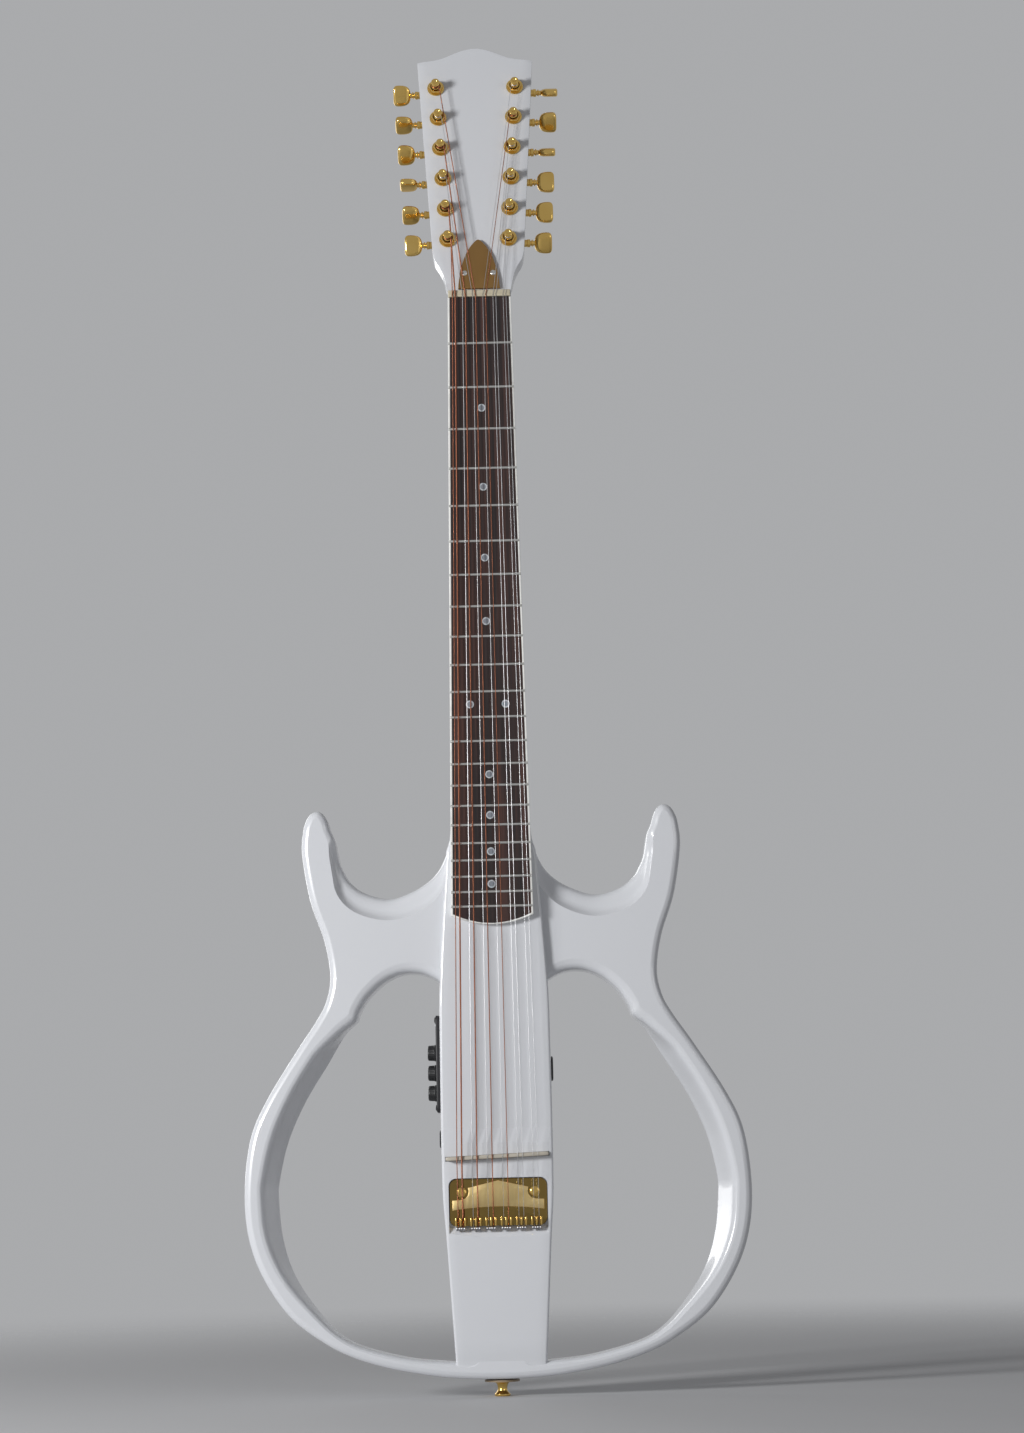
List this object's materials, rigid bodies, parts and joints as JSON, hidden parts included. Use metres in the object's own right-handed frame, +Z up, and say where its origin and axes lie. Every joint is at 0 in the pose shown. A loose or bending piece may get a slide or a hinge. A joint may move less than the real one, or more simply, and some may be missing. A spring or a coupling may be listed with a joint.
{
  "type": "silent guitar",
  "caption": "Silent guitar with a solid centre block, a neck with an arched headstock and open wings round two large holes.",
  "frame": {"origin": "middle of the tail strap button's end face", "axes": "+Z up the neck, -Y the way the strings face, +X towards the treble side"},
  "size_m": [0.3772, 0.0733, 1.0401],
  "materials": {
    "white_lacquer": "gloss white lacquer over wood",
    "rosewood": "dark streaked rosewood, satin; the frets pressed into it are nickel",
    "white_binding": "white edge binding",
    "bone": "cream bone, smooth",
    "rod_steel": "plain steel",
    "bronze": "brown bronze, smooth",
    "string_steel": "plain steel, the thick strings wound in bronze",
    "gold": "polished gold plate",
    "black_plastic": "satin black",
    "knob_plastic": "satin black",
    "battery_case": "plain grey case, no label",
    "felt": "tan felt"
  },
  "bodies": {
    "guitar": {"centre_block": "white_lacquer", "bass_wing": "white_lacquer", "treble_wing": "white_lacquer", "neck": "white_lacquer", "fretboard": "rosewood", "fretboard_binding": "white_binding", "nut": "bone", "truss_rod": "rod_steel", "truss_rod_cover": "bronze", "saddle": "bone", "piezo_strip": "rod_steel", "tailpiece_plate": "gold", "strings": "string_steel", "preamp_bezel": "black_plastic", "preamp_module": "black_plastic", "phones_socket": "black_plastic", "output_jack": "black_plastic", "battery": "battery_case", "tail_strap_button": "gold", "tail_strap_felt": "felt", "bass_tuner_housing_1": "gold", "bass_tuner_housing_2": "gold", "bass_tuner_housing_3": "gold", "bass_tuner_housing_4": "gold", "bass_tuner_housing_5": "gold", "bass_tuner_housing_6": "gold", "treble_tuner_housing_1": "gold", "treble_tuner_housing_2": "gold", "treble_tuner_housing_3": "gold", "treble_tuner_housing_4": "gold", "treble_tuner_housing_5": "gold", "treble_tuner_housing_6": "gold"},
    "bass_tuner_post_1": {"bass_tuner_post_1": "gold"},
    "bass_tuner_key_1": {"bass_tuner_key_1": "gold"},
    "bass_tuner_post_2": {"bass_tuner_post_2": "gold"},
    "bass_tuner_key_2": {"bass_tuner_key_2": "gold"},
    "bass_tuner_post_3": {"bass_tuner_post_3": "gold"},
    "bass_tuner_key_3": {"bass_tuner_key_3": "gold"},
    "bass_tuner_post_4": {"bass_tuner_post_4": "gold"},
    "bass_tuner_key_4": {"bass_tuner_key_4": "gold"},
    "bass_tuner_post_5": {"bass_tuner_post_5": "gold"},
    "bass_tuner_key_5": {"bass_tuner_key_5": "gold"},
    "bass_tuner_post_6": {"bass_tuner_post_6": "gold"},
    "bass_tuner_key_6": {"bass_tuner_key_6": "gold"},
    "treble_tuner_post_1": {"treble_tuner_post_1": "gold"},
    "treble_tuner_key_1": {"treble_tuner_key_1": "gold"},
    "treble_tuner_post_2": {"treble_tuner_post_2": "gold"},
    "treble_tuner_key_2": {"treble_tuner_key_2": "gold"},
    "treble_tuner_post_3": {"treble_tuner_post_3": "gold"},
    "treble_tuner_key_3": {"treble_tuner_key_3": "gold"},
    "treble_tuner_post_4": {"treble_tuner_post_4": "gold"},
    "treble_tuner_key_4": {"treble_tuner_key_4": "gold"},
    "treble_tuner_post_5": {"treble_tuner_post_5": "gold"},
    "treble_tuner_key_5": {"treble_tuner_key_5": "gold"},
    "treble_tuner_post_6": {"treble_tuner_post_6": "gold"},
    "treble_tuner_key_6": {"treble_tuner_key_6": "gold"},
    "volume_knob": {"volume_knob": "knob_plastic"},
    "treble_knob": {"treble_knob": "knob_plastic"},
    "bass_knob": {"bass_knob": "knob_plastic"},
    "battery_lid": {"battery_lid": "black_plastic"}
  },
  "joints": [
    {"name": "bass_tuner_key_1_turn", "type": "hinge", "parent": "guitar", "child": "bass_tuner_key_1", "pos_m": [-0.0234, 0.00443, 0.87953], "axis": [1, 0, 0], "continuous": true},
    {"name": "bass_tuner_post_1_turn", "type": "hinge", "parent": "guitar", "child": "bass_tuner_post_1", "pos_m": [-0.0234, -0.01835, 0.87704], "axis": [0, -0.9848, 0.1736], "continuous": true},
    {"name": "bass_tuner_key_2_turn", "type": "hinge", "parent": "guitar", "child": "bass_tuner_key_2", "pos_m": [-0.0249, 0.00897, 0.90533], "axis": [1, 0, 0], "continuous": true},
    {"name": "bass_tuner_post_2_turn", "type": "hinge", "parent": "guitar", "child": "bass_tuner_post_2", "pos_m": [-0.0249, -0.0138, 0.90285], "axis": [0, -0.9848, 0.1736], "continuous": true},
    {"name": "bass_tuner_key_3_turn", "type": "hinge", "parent": "guitar", "child": "bass_tuner_key_3", "pos_m": [-0.0264, 0.01352, 0.93113], "axis": [1, 0, 0], "continuous": true},
    {"name": "bass_tuner_post_3_turn", "type": "hinge", "parent": "guitar", "child": "bass_tuner_post_3", "pos_m": [-0.0264, -0.00925, 0.92865], "axis": [0, -0.9848, 0.1736], "continuous": true},
    {"name": "bass_tuner_key_4_turn", "type": "hinge", "parent": "guitar", "child": "bass_tuner_key_4", "pos_m": [-0.0279, 0.01807, 0.95693], "axis": [1, 0, 0], "continuous": true},
    {"name": "bass_tuner_post_4_turn", "type": "hinge", "parent": "guitar", "child": "bass_tuner_post_4", "pos_m": [-0.0279, -0.0047, 0.95445], "axis": [0, -0.9848, 0.1736], "continuous": true},
    {"name": "bass_tuner_key_5_turn", "type": "hinge", "parent": "guitar", "child": "bass_tuner_key_5", "pos_m": [-0.0294, 0.02262, 0.98273], "axis": [1, 0, 0], "continuous": true},
    {"name": "bass_tuner_post_5_turn", "type": "hinge", "parent": "guitar", "child": "bass_tuner_post_5", "pos_m": [-0.0294, -0.00015, 0.98025], "axis": [0, -0.9848, 0.1736], "continuous": true},
    {"name": "bass_tuner_key_6_turn", "type": "hinge", "parent": "guitar", "child": "bass_tuner_key_6", "pos_m": [-0.0309, 0.02717, 1.00854], "axis": [1, 0, 0], "continuous": true},
    {"name": "bass_tuner_post_6_turn", "type": "hinge", "parent": "guitar", "child": "bass_tuner_post_6", "pos_m": [-0.0309, 0.0044, 1.00605], "axis": [0, -0.9848, 0.1736], "continuous": true},
    {"name": "treble_tuner_key_1_turn", "type": "hinge", "parent": "guitar", "child": "treble_tuner_key_1", "pos_m": [0.0234, 0.00443, 0.87953], "axis": [1, 0, 0], "continuous": true},
    {"name": "treble_tuner_post_1_turn", "type": "hinge", "parent": "guitar", "child": "treble_tuner_post_1", "pos_m": [0.0234, -0.01835, 0.87704], "axis": [0, -0.9848, 0.1736], "continuous": true},
    {"name": "treble_tuner_key_2_turn", "type": "hinge", "parent": "guitar", "child": "treble_tuner_key_2", "pos_m": [0.0249, 0.00897, 0.90533], "axis": [1, 0, 0], "continuous": true},
    {"name": "treble_tuner_post_2_turn", "type": "hinge", "parent": "guitar", "child": "treble_tuner_post_2", "pos_m": [0.0249, -0.0138, 0.90285], "axis": [0, -0.9848, 0.1736], "continuous": true},
    {"name": "treble_tuner_key_3_turn", "type": "hinge", "parent": "guitar", "child": "treble_tuner_key_3", "pos_m": [0.0264, 0.01352, 0.93113], "axis": [1, 0, 0], "continuous": true},
    {"name": "treble_tuner_post_3_turn", "type": "hinge", "parent": "guitar", "child": "treble_tuner_post_3", "pos_m": [0.0264, -0.00925, 0.92865], "axis": [0, -0.9848, 0.1736], "continuous": true},
    {"name": "treble_tuner_key_4_turn", "type": "hinge", "parent": "guitar", "child": "treble_tuner_key_4", "pos_m": [0.0279, 0.01807, 0.95693], "axis": [1, 0, 0], "continuous": true},
    {"name": "treble_tuner_post_4_turn", "type": "hinge", "parent": "guitar", "child": "treble_tuner_post_4", "pos_m": [0.0279, -0.0047, 0.95445], "axis": [0, -0.9848, 0.1736], "continuous": true},
    {"name": "treble_tuner_key_5_turn", "type": "hinge", "parent": "guitar", "child": "treble_tuner_key_5", "pos_m": [0.0294, 0.02262, 0.98273], "axis": [1, 0, 0], "continuous": true},
    {"name": "treble_tuner_post_5_turn", "type": "hinge", "parent": "guitar", "child": "treble_tuner_post_5", "pos_m": [0.0294, -0.00015, 0.98025], "axis": [0, -0.9848, 0.1736], "continuous": true},
    {"name": "treble_tuner_key_6_turn", "type": "hinge", "parent": "guitar", "child": "treble_tuner_key_6", "pos_m": [0.0309, 0.02717, 1.00854], "axis": [1, 0, 0], "continuous": true},
    {"name": "treble_tuner_post_6_turn", "type": "hinge", "parent": "guitar", "child": "treble_tuner_post_6", "pos_m": [0.0309, 0.0044, 1.00605], "axis": [0, -0.9848, 0.1736], "continuous": true},
    {"name": "volume_knob_turn", "type": "hinge", "parent": "guitar", "child": "volume_knob", "pos_m": [-0.0444, 0.002, 0.2535], "axis": [-1, 0, 0], "range_deg": [-135, 135]},
    {"name": "treble_knob_turn", "type": "hinge", "parent": "guitar", "child": "treble_knob", "pos_m": [-0.0444, 0.002, 0.2385], "axis": [-1, 0, 0], "range_deg": [-135, 135]},
    {"name": "bass_knob_turn", "type": "hinge", "parent": "guitar", "child": "bass_knob", "pos_m": [-0.0444, 0.002, 0.2235], "axis": [-1, 0, 0], "range_deg": [-135, 135]},
    {"name": "battery_lid_hinge", "type": "hinge", "parent": "guitar", "child": "battery_lid", "pos_m": [0, 0.0198, 0.1143], "axis": [1, 0, 0], "range_deg": [0, 90]}
  ],
  "couplings": [
    {"joint": "bass_tuner_post_1_turn", "follows": "bass_tuner_key_1_turn", "ratio": 0.071429},
    {"joint": "bass_tuner_post_2_turn", "follows": "bass_tuner_key_2_turn", "ratio": 0.071429},
    {"joint": "bass_tuner_post_3_turn", "follows": "bass_tuner_key_3_turn", "ratio": 0.071429},
    {"joint": "bass_tuner_post_4_turn", "follows": "bass_tuner_key_4_turn", "ratio": 0.071429},
    {"joint": "bass_tuner_post_5_turn", "follows": "bass_tuner_key_5_turn", "ratio": 0.071429},
    {"joint": "bass_tuner_post_6_turn", "follows": "bass_tuner_key_6_turn", "ratio": 0.071429},
    {"joint": "treble_tuner_post_1_turn", "follows": "treble_tuner_key_1_turn", "ratio": 0.071429},
    {"joint": "treble_tuner_post_2_turn", "follows": "treble_tuner_key_2_turn", "ratio": 0.071429},
    {"joint": "treble_tuner_post_3_turn", "follows": "treble_tuner_key_3_turn", "ratio": 0.071429},
    {"joint": "treble_tuner_post_4_turn", "follows": "treble_tuner_key_4_turn", "ratio": 0.071429},
    {"joint": "treble_tuner_post_5_turn", "follows": "treble_tuner_key_5_turn", "ratio": 0.071429},
    {"joint": "treble_tuner_post_6_turn", "follows": "treble_tuner_key_6_turn", "ratio": 0.071429}
  ]
}
